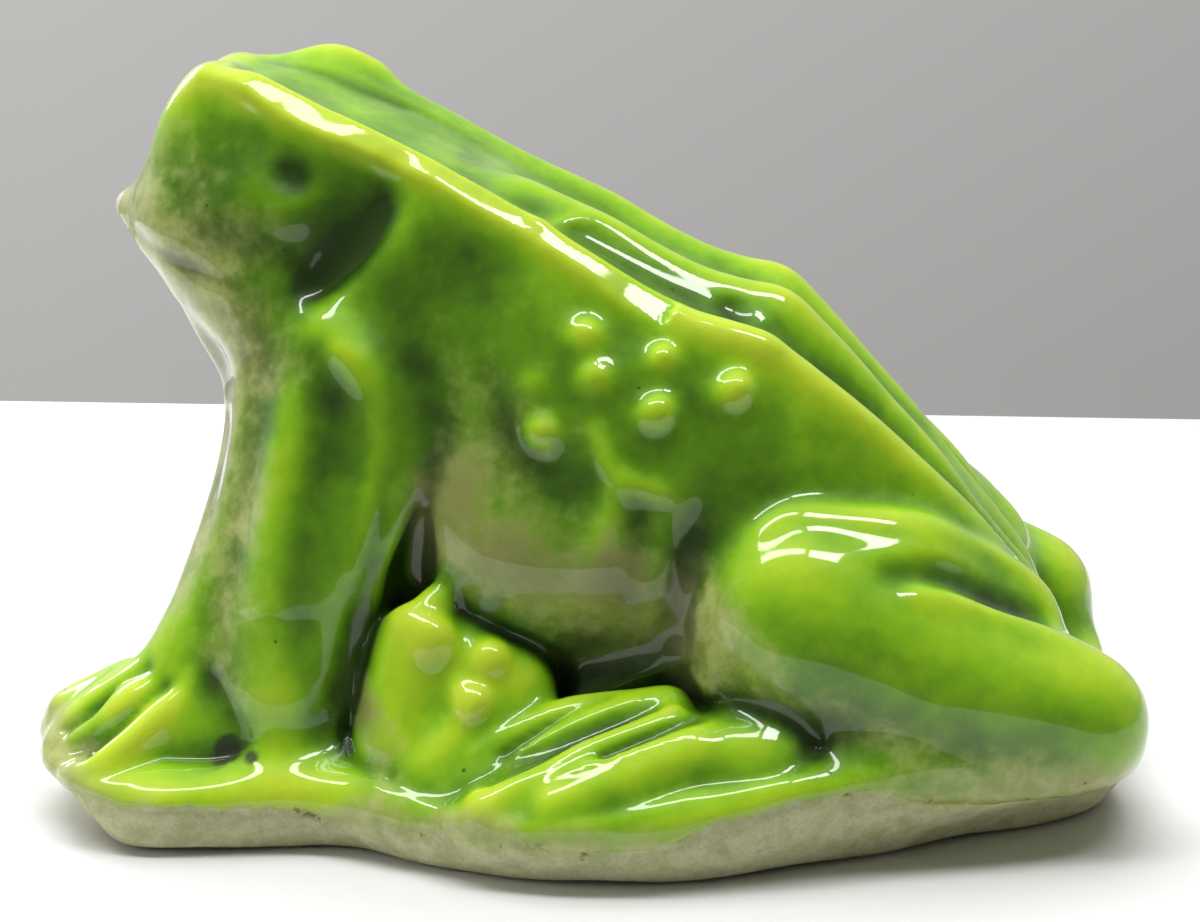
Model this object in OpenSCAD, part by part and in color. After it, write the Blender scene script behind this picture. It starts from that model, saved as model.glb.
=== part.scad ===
// Miniature glazed porcelain frog on a low plinth.
// X runs from the snout (-X) to the heels (+X), the frog's left side faces -Y, and Z is up.
// The origin is on the table under the middle of the plinth.

/* [Overall] */
// Length from the toe tips to the heels
length = 32.5; // [25:0.5:40]

/* [Plinth] */
// Height of the upright foot that stands on the table
foot_height = 0.4; // [0.2:0.1:0.8]
// Width of the ring that the foot stands on, around the hollow underside
foot_ring = 2.4; // [1.5:0.1:4]
// Thickness of the glazed ground where it rolls over the plinth's rim
ground_edge = 0.3; // [0.2:0.05:0.5]

/* [Body] */
// Radius of the two ridges that run down the back
back_ridge_r = 0.8; // [0.5:0.05:1]
// Radius of the warts on the flanks
flank_wart_r = 0.62; // [0.4:0.02:0.8]
// Radius of the warts on the stones
stone_wart_r = 0.55; // [0.4:0.02:0.7]

/* [Feet] */
// Radius of the toes of the front feet
front_toe_r = 0.85; // [0.6:0.05:1]
// Radius of the toes of the hind feet
hind_toe_r = 0.75; // [0.5:0.05:0.9]

/* [Hidden] */

drawn_length = 32.5;
k = length / drawn_length;
glaze = "yellowgreen";
bare = "gainsboro";
// The right forefoot is planted a little behind the left one, and lower.
right_forefoot_shift = [1.6, 0, -0.4];
limb_fn = 20;
toe_fn = 16;
wart_fn = 12;
steps = 3;

// The plinth's left edge from front to back: rim x, y, z, then the foot's x and y under it.
edge = [
    [-14.8,   0.0, 1.7, -13.6,   0.0],
    [-15.4,  -3.0, 1.7, -14.1,  -3.0],
    [-15.8,  -5.9, 1.6, -14.3,  -6.2],
    [-14.4,  -8.3, 1.6, -13.2,  -8.5],
    [-11.6,  -9.4, 1.6, -11.3,  -9.2],
    [ -7.3,  -8.8, 1.7,  -7.2,  -8.3],
    [ -4.9,  -9.6, 1.6,  -4.8,  -9.2],
    [ -1.9, -10.9, 1.6,  -1.9, -10.2],
    [  1.5, -11.1, 1.9,   1.3, -10.4],
    [  5.0, -10.4, 2.4,   4.6,  -9.5],
    [  8.7,  -9.3, 2.9,   7.9,  -8.1],
    [ 12.0,  -8.5, 2.2,  11.0,  -6.5],
    [ 14.8,  -7.2, 2.1,  13.6,  -5.1],
    [ 16.0,  -5.0, 2.2,  15.0,  -3.9],
    [ 16.0,  -2.2, 2.2,  15.4,  -1.9],
    [ 15.8,   0.0, 2.2,  15.3,   0.0],
];

// The trunk's sections from snout to rump:
// x, spine z, edge half-width, edge z, flank half-width, flank z, keel z.
sections = [
    [-14.2, 17.1, 0.7, 17.0, 0.8, 16.7, 16.3],
    [-13.2, 18.4, 1.9, 17.9, 2.4, 16.8, 15.3],
    [-12.1, 20.1, 2.2, 19.5, 3.2, 16.8, 14.0],
    [-11.0, 21.1, 2.3, 20.6, 3.8, 16.6, 12.7],
    [-10.0, 20.8, 2.8, 20.3, 4.1, 16.0, 11.4],
    [ -8.2, 20.8, 3.6, 20.1, 4.4, 15.4,  9.4],
    [ -6.0, 20.0, 3.9, 19.3, 4.8, 14.2,  6.4],
    [ -3.7, 18.8, 4.1, 18.2, 5.5, 11.8,  3.4],
    [ -1.0, 17.1, 4.3, 16.6, 6.4, 10.6,  2.2],
    [  2.0, 15.5, 4.6, 14.9, 6.7,  9.8,  2.2],
    [  5.1, 14.1, 4.9, 13.8, 6.4,  9.2,  2.2],
    [  8.1, 11.6, 4.6, 11.5, 5.6,  7.9,  2.2],
    [ 10.8,  8.8, 4.0,  9.0, 4.7,  6.1,  2.2],
    [ 13.0,  5.5, 2.9,  6.2, 3.3,  4.4,  2.2],
    [ 14.2,  4.1, 1.2,  4.3, 1.5,  3.7,  2.4],
];

// Balls of the left side, as [x, y, z, radius]. A limb is a row of balls, hulled in pairs.
back_ridge = [
    [-11.0, -0.9, 20.6, 0.70], [-8.1, -2.0, 20.7, 0.90], [-3.9, -2.2, 18.4, 0.80],
    [0.2, -2.2, 16.4, 0.75], [3.0, -2.2, 14.8, 0.75], [5.3, -2.0, 14.1, 0.90],
    [8.9, -1.9, 10.5, 0.70], [12.8, -1.5, 5.9, 0.60],
];
cheek = [[-8.3, -2.6, 17.4, 2.1], [-11.3, -1.7, 16.8, 2.0]];
brow = [[-8.8, -2.2, 20.3, 1.1], [-7.2, -2.2, 20.1, 1.1]];
belly = [[-1.4, -1.6, 8.4, 5.2], [3.4, -1.2, 7.8, 5.5]];
foreleg = [
    [[-6.8, -3.8, 12.9, 2.2], [-7.7, -4.7, 8.4, 2.3], [-8.7, -5.3, 4.0, 2.2]],
    [[-8.7, -2.7, 12.1, 2.1], [-9.7, -4.0, 7.8, 1.9], [-11.2, -5.0, 4.2, 1.7]],
];
palm = [[-10.3, -5.8, 2.7, 1.8], [-12.5, -5.9, 2.7, 1.7]];
front_toes = [
    [[-13.4, -4.5, 3.4], [-15.2, -4.7, 2.5], [-15.5, -4.9, 1.6]],
    [[-12.7, -5.7, 3.7], [-14.6, -6.0, 2.3], [-15.2, -6.1, 1.6]],
    [[-11.8, -6.6, 3.2], [-13.1, -7.5, 2.1], [-13.8, -7.8, 1.6]],
];
knee = [6.1, -5.8, 6.2, 3.3];
thigh = [knee, [8.4, -5.1, 6.9, 2.6], [12.1, -3.8, 5.6, 1.5]];
shin = [knee, [9.6, -6.3, 4.7, 2.6], [13.8, -5.8, 3.5, 2.1]];
sole = [[5.0, -8.0, 3.0, 1.6], [1.7, -8.5, 2.4, 1.4]];
hind_toes = [
    [[2.4, -7.2, 4.0], [-0.4, -7.6, 3.6], [-2.2, -8.0, 2.8], [-3.7, -8.8, 1.7]],
    [[2.6, -8.2, 3.7], [0.3, -8.9, 3.1], [-1.3, -9.5, 2.5], [-2.4, -10.0, 2.0]],
    [[3.4, -8.9, 3.4], [0.9, -9.8, 2.6], [-0.5, -10.2, 2.2]],
];
stone = [
    [[-4.5, -5.9, 5.0, 1.6], [-2.2, -6.3, 4.1, 1.5]],
    [[-4.5, -5.9, 5.0, 1.6], [-4.9, -6.9, 2.8, 1.6]],
    [[-2.2, -6.3, 4.1, 1.5], [-4.0, -7.6, 2.0, 1.5]],
];
flank_warts = [
    [0.0, -5.5, 14.3], [2.0, -5.9, 13.7], [-1.4, -5.9, 13.0], [0.4, -6.0, 13.2],
    [4.1, -6.0, 12.7], [2.0, -6.5, 12.3], [-1.1, -6.4, 11.7],
];
stone_warts = [[-4.2, -6.4, 6.7], [-4.2, -7.3, 5.7], [-2.6, -7.2, 5.2], [-3.0, -8.0, 4.2]];

// A point on the smooth curve through b and c, with a and d as its neighbours.
function between(a, b, c, d, t) =
    0.5 * (2*b + (c - a)*t + (2*a - 5*b + 4*c - d)*t*t + (3*b - a - 3*c + d)*t*t*t);

// A closed list of points, smoothed.
function smooth_loop(p, n = steps) = let (m = len(p)) [
    for (i = [0:m - 1], j = [0:n - 1])
        between(p[(i + m - 1) % m], p[i], p[(i + 1) % m], p[(i + 2) % m], j / n)
];

// An open list of points, smoothed from its first to its last.
function smooth_line(p, n = steps) = let (m = len(p)) concat([
    for (i = [0:m - 2], j = [0:n - 1])
        between(p[max(i - 1, 0)], p[i], p[i + 1], p[min(i + 2, m - 1)], j / n)
], [p[m - 1]]);

// The plinth's whole edge: the left side from front to back, then the right side.
whole_edge = smooth_loop(concat(edge, [
    for (i = [len(edge) - 2:-1:1]) [edge[i][0], -edge[i][1], edge[i][2], edge[i][3], -edge[i][4]]
]));

// Rings around the plinth, in from its rim or its foot by a share of the way to the middle.
function rim_ring(share, lift) = [for (e = whole_edge) [e[0]*share, e[1]*share, e[2] + lift]];
function foot_line(inset) = [
    for (e = whole_edge) let (r = norm([e[3], e[4]])) [e[3], e[4]] * (r - inset) / r
];
function foot_loop(inset, z) = [for (p = foot_line(inset)) [p[0], p[1], z]];

// A closed skin over rings of equally many points, with a middle point at each end.
module loft(rings, first_middle, last_middle) {
    n = len(rings[0]);
    m = len(rings);
    points = concat([first_middle], [for (r = rings, p = r) p], [last_middle]);
    at = function (i, j) 1 + i*n + j % n;
    polyhedron(points, concat(
        [for (j = [0:n - 1]) [0, at(0, j), at(0, j + 1)]],
        [for (i = [0:m - 2], j = [0:n - 1]) each [
            [at(i, j), at(i + 1, j), at(i + 1, j + 1)],
            [at(i, j), at(i + 1, j + 1), at(i, j + 1)]
        ]],
        [for (j = [0:n - 1]) [1 + m*n, at(m - 1, j + 1), at(m - 1, j)]]
    ));
}

// One section of the trunk as a closed loop, from the spine down the left and up the right.
function trunk_ring(s) =
    let (
        top = [for (i = [0:4]) let (t = i/5) [s[2]*t, s[1] + (s[3] - s[1])*t*t]],
        side = [for (i = [0:4]) let (t = i/5)
            [s[2] + (s[4] - s[2])*sin(90*t), s[3] + (s[5] - s[3])*t]],
        under = [for (i = [0:5]) let (t = i/5)
            [s[4]*pow(cos(90*t), 0.7), s[5] + (s[6] - s[5])*pow(sin(90*t), 1.2)]],
        half = concat(top, side, under)
    )
    concat(
        [for (p = half) [s[0], -p[0], p[1]]],
        [for (i = [len(half) - 2:-1:1]) [s[0], half[i][0], half[i][1]]]
    );

module ball(b, n) {
    translate([b[0], b[1], b[2]]) sphere(r = b[3], $fn = n);
}

// A row of balls, each hulled to the next.
module limb(balls, n = limb_fn) {
    for (i = [0:len(balls) - 2]) hull() {
        ball(balls[i], n);
        ball(balls[i + 1], n);
    }
}

module toes(lines, r) {
    for (line = lines) limb([for (p = line) [p[0], p[1], p[2], r]], toe_fn);
}

// Children as they are for the left side, or mirrored for the right.
module on(side) {
    mirror([0, side == "right" ? 1 : 0, 0]) children();
}

module both() {
    on("left") children();
    on("right") children();
}

module trunk() {
    line = smooth_line(sections);
    first = line[0];
    last = line[len(line) - 1];
    loft([for (s = line) trunk_ring(s)],
        [first[0] - 0.1, 0, first[5]], [last[0] + 0.2, 0, last[5]]);
    both() {
        limb([for (b = back_ridge) [b[0], b[1], b[2], b[3] * back_ridge_r / 0.8]]);
        limb(cheek);
        limb(brow);
        limb(belly);
    }
}

// The space ahead of the neck, behind the cheeks.
module neck_cut() {
    translate([-6.4, 0, 18.5]) rotate([0, 28, 0]) translate([-20, -20, -20]) cube([20, 40, 40]);
}

// The space that the plinth and its ground take up, which the frog and the stones stop at.
module base() {
    ground_body();
    below_rim();
}

module plinth_body() {
    loft([foot_loop(0, foot_height), foot_loop(-0.5, 0.9), rim_ring(1, 0)],
        [0, 0, foot_height], [0, 0, 2]);
}

module ground_body() {
    loft([rim_ring(1, 0), rim_ring(1.006, ground_edge), rim_ring(0.95, ground_edge + 0.2),
        rim_ring(0.8, ground_edge + 0.4), rim_ring(0.6, ground_edge + 0.6)],
        [0, 0, 2], [0, 0, 3]);
}

// Everything lower than the plinth's rim, outside the rim too.
module below_rim() {
    top = rim_ring(1.1, ground_edge * 0.7);
    loft([[for (p = top) [p[0], p[1], 0]], top], [0, 0, 0], [0, 0, 2]);
}

module foreleg_body() {
    for (row = foreleg) limb(row);
}

module hind_leg_body() {
    limb(thigh);
    limb(shin);
}

// The space above the crease that runs back from the knee between thigh and shin.
module above_crease() {
    translate([0, 0, 5.3]) rotate([0, -5, 0]) translate([0, -20, 0]) cube([20, 40, 10]);
}

module stone_body() {
    for (row = stone) limb(row, toe_fn);
}

module forefoot_body() {
    limb(palm);
    toes(front_toes, front_toe_r);
}

module hind_foot_body() {
    limb(sole, toe_fn);
    toes(hind_toes, hind_toe_r);
}

module foot_ring_node() {
    color(bare) linear_extrude(foot_height) difference() {
        polygon(foot_line(0));
        polygon(foot_line(foot_ring));
    }
}

module plinth_node() {
    color(bare) plinth_body();
}

module ground_node() {
    color(glaze) ground_body();
}

module head_node() {
    color(glaze) intersection() {
        trunk();
        neck_cut();
    }
}

module torso_node() {
    color(glaze) difference() {
        trunk();
        neck_cut();
        base();
    }
}

module foreleg_node(side) {
    color(glaze) on(side) difference() {
        foreleg_body();
        trunk();
        base();
    }
}

module forefoot_node(side) {
    color(glaze) on(side) difference() {
        translate(side == "right" ? right_forefoot_shift : [0, 0, 0]) forefoot_body();
        foreleg_body();
        base();
    }
}

module thigh_node(side) {
    color(glaze) on(side) difference() {
        intersection() {
            hind_leg_body();
            above_crease();
        }
        trunk();
        base();
    }
}

module shin_node(side) {
    color(glaze) on(side) difference() {
        hind_leg_body();
        above_crease();
        trunk();
        base();
    }
}

module hind_foot_node(side) {
    color(glaze) on(side) difference() {
        hind_foot_body();
        hind_leg_body();
        trunk();
        base();
    }
}

module stone_node(side) {
    color(glaze) on(side) difference() {
        stone_body();
        hind_foot_body();
        foreleg_body();
        trunk();
        base();
    }
}

module flank_warts_node(side) {
    color(glaze) on(side) difference() {
        for (w = flank_warts) ball([each w, flank_wart_r], wart_fn);
        trunk();
    }
}

module stone_warts_node(side) {
    color(glaze) on(side) difference() {
        for (w = stone_warts) ball([each w, stone_wart_r], wart_fn);
        stone_body();
        trunk();
    }
}

scale(k) {
    foot_ring_node();  // foot_ring
    plinth_node();  // plinth
    ground_node();  // ground
    head_node();  // head
    torso_node();  // torso
    for (side = ["left", "right"]) {
        foreleg_node(side);
        forefoot_node(side);
        thigh_node(side);
        shin_node(side);
        hind_foot_node(side);
        stone_node(side);
        flank_warts_node(side);
        stone_warts_node(side);
    }
}
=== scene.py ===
import math

import bpy
import numpy as np
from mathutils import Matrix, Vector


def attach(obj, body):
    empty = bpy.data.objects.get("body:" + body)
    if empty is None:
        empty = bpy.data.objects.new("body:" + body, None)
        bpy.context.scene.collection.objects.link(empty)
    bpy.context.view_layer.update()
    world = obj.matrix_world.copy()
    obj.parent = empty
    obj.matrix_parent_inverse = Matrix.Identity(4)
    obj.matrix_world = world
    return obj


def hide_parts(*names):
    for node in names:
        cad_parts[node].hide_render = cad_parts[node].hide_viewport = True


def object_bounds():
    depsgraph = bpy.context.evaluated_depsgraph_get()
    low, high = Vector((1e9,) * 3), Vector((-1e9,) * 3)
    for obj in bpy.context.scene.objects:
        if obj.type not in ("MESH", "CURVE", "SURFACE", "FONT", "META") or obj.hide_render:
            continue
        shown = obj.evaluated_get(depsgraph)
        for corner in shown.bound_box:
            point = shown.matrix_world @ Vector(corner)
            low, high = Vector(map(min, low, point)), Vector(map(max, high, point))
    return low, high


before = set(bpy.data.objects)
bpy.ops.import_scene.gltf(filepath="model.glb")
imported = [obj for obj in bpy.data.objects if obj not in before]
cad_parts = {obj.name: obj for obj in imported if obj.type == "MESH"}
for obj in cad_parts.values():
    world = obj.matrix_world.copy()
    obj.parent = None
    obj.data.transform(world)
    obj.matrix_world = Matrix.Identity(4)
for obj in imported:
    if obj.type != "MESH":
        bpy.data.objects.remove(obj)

import openvdb as vdb
from mathutils import Matrix, Vector

cad_low, cad_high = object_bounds()

# The sculpt is worked out in millimetres of the drawing, which is 32.5 mm long, so a frame of
# another length scales it. MM is one drawn millimetre in metres.
DRAWN_LENGTH = 32.5
MM = (cad_high.x - cad_low.x) / DRAWN_LENGTH
H = 0.13      # voxel
PAD = 1.5                            # room round the frame's box
BAND = 1.4                           # how far the distance field reaches from the surface
SEAM = 0.03                          # the nodes grow by this before they are joined
FILLET, FINE_FILLET = 0.75, 0.16     # hollow corners up to this radius are filled
SMOOTH, FINE_SMOOTH = 0.42, 0.16     # blur that takes the facets away
BORDER_SMOOTH = 0.25                 # blur that straightens the borders between pieces
WAVES, WAVE_LENGTH, SEED = 0.03, 3.0, 3   # the slow unevenness of a hand-pressed body

NODES = sorted(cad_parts)
LABEL = {name: i + 1 for i, name in enumerate(NODES)}

low = np.array([v / MM - PAD for v in cad_low])
high = np.array([v / MM + PAD for v in cad_high])
first = np.floor(low / H).astype(int)
shape = tuple(np.ceil(high / H).astype(int) - first + 1)
AXES = [((np.arange(shape[i]) + first[i]) * H).astype(np.float32) for i in range(3)]


# ---------------------------------------------------------------- distance fields

def from_polygons(points, **polygons):
    """The level set of a closed mesh, which is given as triangles or as quads."""
    polygons = {kind: np.ascontiguousarray(p, np.uint32) for kind, p in polygons.items()}
    return vdb.FloatGrid.createLevelSetFromPolygons(
        np.ascontiguousarray(points, np.float32),
        transform=vdb.createLinearTransform(voxelSize=H), halfWidth=BAND / H, **polygons)


def read(grid, start=None, size=None):
    """The grid's values as an array: the whole box, or a part of it."""
    out = np.zeros(size or shape, np.float32)
    grid.copyToArray(out, ijk=tuple(int(v) for v in (first if start is None else start)))
    return out


def redistance(field, level):
    """The signed distance to the surface where field equals level."""
    grid = vdb.FloatGrid(BAND)
    grid.transform = vdb.createLinearTransform(voxelSize=H)
    grid.copyFromArray(field, ijk=tuple(int(v) for v in first))
    points, quads = grid.convertToQuads(level)
    return read(from_polygons(points, quads=quads))


def closed(field, radius):
    """The signed distance once hollow corners tighter than this radius are filled."""
    return redistance(redistance(field, radius), -radius)


def blur(field, sigma):
    """A Gaussian blur, with sigma in millimetres."""
    s = sigma / H
    n = max(1, int(math.ceil(2.6 * s)))
    weight = np.exp(-0.5 * (np.arange(-n, n + 1) / s) ** 2)
    weight /= weight.sum()
    for axis in range(3):
        padded = np.pad(field, [(n, n) if i == axis else (0, 0) for i in range(3)], mode="edge")
        out = np.zeros_like(field)
        for i, w in enumerate(weight):
            cut = [slice(None)] * 3
            cut[axis] = slice(i, i + field.shape[axis])
            out += np.float32(w) * padded[tuple(cut)]
        field = out
    return field


def step(x, a, b):
    """0 up to a, 1 from b on, and smooth between them."""
    t = np.clip((x - a) / (b - a), 0, 1)
    return t * t * (3 - 2 * t)


def unit(vectors):
    return vectors / np.maximum(np.linalg.norm(vectors, axis=1), 1e-6)[:, None]


def sub_box(lo, hi):
    """The slices of the grid that cover a box."""
    cut = []
    for i in range(3):
        a = int(max(0, math.floor(lo[i] / H) - first[i]))
        b = int(min(shape[i], math.ceil(hi[i] / H) - first[i] + 1))
        cut.append(slice(a, max(a, b)))
    return tuple(cut)


def coords(cut):
    """The x, y and z of the cut's voxels, ready to broadcast."""
    x, y, z = (AXES[i][cut[i]] for i in range(3))
    return x[:, None, None], y[None, :, None], z[None, None, :]


def along(cut, line):
    """Distance from each voxel of the cut to an open line, and the line's fourth value where it
    is nearest."""
    x, y, z = coords(cut)
    best, extra = None, None
    for a, b in zip(line[:-1], line[1:]):
        d = [b[i] - a[i] for i in range(3)]
        n = max(sum(v * v for v in d), 1e-9)
        t = np.clip(((x - a[0]) * d[0] + (y - a[1]) * d[1] + (z - a[2]) * d[2]) / n, 0, 1)
        q = (x - a[0] - t * d[0]) ** 2 + (y - a[1] - t * d[1]) ** 2 + (z - a[2] - t * d[2]) ** 2
        e = a[3] + t * (b[3] - a[3])
        if best is None:
            best, extra = q, e
        else:
            near = q < best
            best = np.where(near, q, best)
            extra = np.where(near, e, extra)
    return np.sqrt(best), extra


def curve(line, n=4):
    """The line with n spans for each of its own, on a smooth curve through its points."""
    p = np.array(line, float)
    out = []
    for i in range(len(p) - 1):
        a, b, c, d = p[max(i - 1, 0)], p[i], p[i + 1], p[min(i + 2, len(p) - 1)]
        for t in np.arange(n) / n:
            out.append(0.5 * (2 * b + (c - a) * t + (2 * a - 5 * b + 4 * c - d) * t ** 2
                              + (3 * b - a - 3 * c + d) * t ** 3))
    out.append(p[-1])
    return np.array(out)


def on_side(line, side):
    """The line itself, or for side 1 its mirror image."""
    return np.array(line, float) * np.array([1, -1 if side else 1, 1, 1])


def stroke(field, line, width, sharp=False, sides=(0, 1)):
    """Raises the surface along a line by each point's fourth value, or sinks it where that is
    negative. A sharp stroke comes to a crest."""
    for side in sides:
        pts = on_side(line, side)
        if len(pts) > 2:
            pts = curve(pts)
        reach = width * 3
        cut = sub_box(pts[:, :3].min(0) - reach, pts[:, :3].max(0) + reach)
        d, lift = along(cut, pts)
        d = d / width
        fall = np.exp(-d * 1.4) if sharp else np.exp(-d * d)
        fall = np.where(d < 3, fall, 0)
        field[cut] -= (lift * fall).astype(np.float32)


def smin(a, b, k):
    """The smaller of two fields, melted together where they are within k."""
    h = np.clip(0.5 + 0.5 * (b - a) / k, 0, 1)
    return b + (a - b) * h - k * h * (1 - h)


def lump(field, line, melt):
    """Adds a round body along a line, each point's fourth value its radius, melted in this far."""
    for side in (0, 1):
        pts = on_side(line, side)
        reach = pts[:, 3].max() + 2 * melt
        cut = sub_box(pts[:, :3].min(0) - reach, pts[:, :3].max(0) + reach)
        d, radius = along(cut, pts)
        field[cut] = smin(field[cut], (d - radius).astype(np.float32), melt)


def waves(cut, seed, length, count=10):
    """Smooth noise of about one unit, of waves about this long."""
    rng = np.random.default_rng(seed)
    x, y, z = coords(cut)
    out = 0
    for _ in range(count):
        v = rng.normal(size=3)
        v *= 2 * math.pi / length / np.linalg.norm(v) * rng.uniform(0.6, 1.4)
        out = out + np.sin(x * v[0] + y * v[1] + z * v[2] + rng.uniform(0, 6.3))
    return (out / math.sqrt(count / 2)).astype(np.float32)


# ---------------------------------------------------------------- the body from the CAD nodes

def node_mesh(name):
    """A CAD node's points, in drawn millimetres, and its triangles."""
    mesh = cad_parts[name].data
    mesh.calc_loop_triangles()
    points = np.zeros(len(mesh.vertices) * 3, np.float32)
    mesh.vertices.foreach_get("co", points)
    triangles = np.zeros(len(mesh.loop_triangles) * 3, np.int32)
    mesh.loop_triangles.foreach_get("vertices", triangles)
    return points.reshape(-1, 3) / MM, triangles.reshape(-1, 3)


WARTS = [n for n in NODES if n.endswith("warts")]
FINE = [n for n in NODES if n.endswith(("warts", "forefoot", "hind_foot", "stone"))]

body = np.full(shape, BAND, np.float32)
best = np.full(shape, BAND, np.float32)
label = np.zeros(shape, np.uint8)
fine = np.full(shape, BAND, np.float32)
for name in NODES:
    points, triangles = node_mesh(name)
    cut = sub_box(points.min(0) - PAD, points.max(0) + PAD)
    start = [first[i] + cut[i].start for i in range(3)]
    size = tuple(c.stop - c.start for c in cut)
    own = read(from_polygons(points, triangles=triangles), start, size)
    if name not in WARTS:
        body[cut] = np.minimum(body[cut], own)
    if name in FINE:
        fine[cut] = np.minimum(fine[cut], own)
    soft = blur(own, BORDER_SMOOTH)
    nearer = soft < best[cut]
    label[cut] = np.where(nearer, np.uint8(LABEL[name]), label[cut])
    best[cut] = np.where(nearer, soft, best[cut])

body = redistance(body, SEAM)
x, y, z = coords((slice(None),) * 3)
on_fine = step(-fine, -0.8, -0.1)                     # 1 on the feet, the stones and the warts
low_down = 1 - step(z, 0.6, 1.4) + 0 * (x + y)        # 1 on the base
detail = np.maximum(on_fine, low_down)

# Clay fillets: the hollow corners are filled, and the facets are smoothed away, less on detail.
filled = closed(body, FILLET)
filled = np.where(body < BAND * 0.98, np.minimum(filled, body), filled)
body = filled * (1 - detail) + closed(body, FINE_FILLET) * detail
body = blur(body, SMOOTH) * (1 - detail) + blur(body, FINE_SMOOTH) * detail

# ---------------------------------------------------------------- sculpt
# Lines are for the frog's left side, as x, y, z and how far the surface rises or sinks.

# The edge that runs from the snout, over the eye and down the back to the rump
EDGE = [(-11.0, -2.3, 21.1, 0.25), (-9.7, -3.2, 20.8, 0.35), (-8.8, -3.5, 20.4, 0.35),
        (-7.8, -3.7, 20.0, 0.32), (-6.7, -3.9, 19.6, 0.32), (-5.4, -4.0, 19.1, 0.32),
        (-4.2, -4.1, 18.6, 0.32), (-3.0, -4.2, 17.9, 0.32), (-1.7, -4.3, 17.2, 0.32),
        (-0.2, -4.5, 16.3, 0.32), (1.2, -4.6, 15.4, 0.32), (2.3, -4.7, 14.8, 0.32),
        (3.1, -4.8, 14.4, 0.32), (4.9, -4.9, 14.0, 0.34), (5.9, -4.8, 13.4, 0.3),
        (7.0, -4.8, 12.5, 0.26), (8.2, -4.7, 11.5, 0.24), (10.0, -4.2, 9.6, 0.22),
        (12.2, -3.2, 7.4, 0.12)]


def hollow_roof():
    """The top of the left half of the head and neck is a shallow hollow, up from the edge to the
    right side's ridge."""
    crest = np.array(EDGE)
    cut = sub_box((-11.5, -5, 14), (2, 3, 23))
    x, y, z = coords(cut)
    edge_z = np.interp(x, crest[:, 0], crest[:, 2])
    edge_y = np.interp(x, crest[:, 0], crest[:, 1])
    across = np.clip((y - edge_y) / (1.8 - edge_y), 0, 1)
    top = edge_z + 0.1 + 0.8 * across - 0.35 * np.sin(math.pi * across)
    top = top + 3 * step(y, 0.8, 2.2) + 2.4 * step(x, -4.0, 1.0) + 3 * step(-x, 10.2, 11.4)
    d = (z - top) * 0.85
    field = body[cut]
    body[cut] = -smin(-field, -d.astype(np.float32), 0.35)


hollow_roof()
stroke(body, EDGE, 0.75)
stroke(body, [(x, y, z, 0.14) for x, y, z, _ in EDGE[:14]], 0.5)


def flatten(line, facing, width):
    """Planes a crest down to a flat band that faces this way, as far off the line as each point's
    fourth value."""
    for side in (0, 1):
        flip = np.array([1, -1 if side else 1, 1])
        pts = np.array(line, float)
        pts[:, :3] *= flip
        cut = sub_box(pts[:, :3].min(0) - width, pts[:, :3].max(0) + width)
        x, y, z = coords(cut)
        nearest, _ = along(cut, pts)
        plane = np.full(nearest.shape, -9.0)
        for a, b in zip(pts[:-1], pts[1:]):
            length = np.linalg.norm((b - a)[:3])
            t = (b - a)[:3] / length
            n = np.array(facing) * flip
            n = n - t * (n @ t)
            n /= np.linalg.norm(n)
            share = ((x - a[0]) * t[0] + (y - a[1]) * t[1] + (z - a[2]) * t[2]) / length
            here = (x - a[0]) * n[0] + (y - a[1]) * n[1] + (z - a[2]) * n[2] \
                - (a[3] + np.clip(share, 0, 1) * (b[3] - a[3]))
            plane = np.where((share > -0.02) & (share < 1.02), np.maximum(plane, here), plane)
        plane -= 4 * step(nearest, width * 0.7, width)
        field = body[cut]
        body[cut] = -smin(-field, -plane.astype(np.float32), 0.10)


flatten([(x, y, z, 0.02) for x, y, z, _ in EDGE[:12]], (0.28, -0.735, 0.64), 1.0)
# The hollow between that edge and the ridge down the back
stroke(body, [(-7.0, -2.6, 20.0, -0.1), (-3.5, -3.1, 18.4, -0.25),
              (-0.8, -3.3, 16.8, -0.16), (2.0, -3.4, 15.4, -0.18), (4.0, -3.6, 14.6, -0.25)], 0.85)
stroke(body, [(5.8, -3.5, 13.7, -0.25), (8.0, -3.3, 11.8, -0.4), (10.0, -3.0, 9.8, -0.4),
              (12.2, -2.4, 7.2, -0.2)], 0.55)
# The ridge inside that edge, its hump, and the spur that leaves the edge for it
stroke(body, [(-1.4, -4.0, 17.1, 0.12), (-0.8, -3.2, 17.1, 0.2), (0.2, -2.4, 16.8, 0.2),
              (2.0, -2.1, 15.7, 0.25), (4.2, -2.1, 14.9, 0.35), (5.4, -2.1, 14.7, 0.5),
              (6.6, -2.0, 13.4, 0.3), (8.9, -1.9, 11.2, 0.25), (12.4, -1.6, 6.9, 0.1)],
       0.45, sharp=True)
stroke(body, [(3.9, -3.2, 14.7, -0.2), (4.5, -3.9, 14.3, -0.3), (5.3, -3.4, 14.2, -0.2)], 0.35)
# The right brow stands higher, with a hollow beside it
stroke(body, [(-9.6, 2.9, 21.0, 0.15), (-8.4, 3.0, 21.2, 0.35), (-7.2, 3.0, 20.8, 0.2)], 0.8,
       sides=(0,))
stroke(body, [(-9.6, 1.2, 21.3, -0.3), (-8.2, 1.2, 21.4, -0.35), (-6.6, 1.5, 20.9, -0.2)], 0.6,
       sides=(0,))
# The snout's corner stands out over the mouth
stroke(body, [(-13.7, -0.9, 17.9, 0.1), (-12.9, -1.3, 18.9, 0.3), (-12.1, -1.6, 20.0, 0.55),
              (-11.4, -1.8, 20.8, 0.5), (-10.6, -2.1, 21.2, 0.15)], 0.95)
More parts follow.
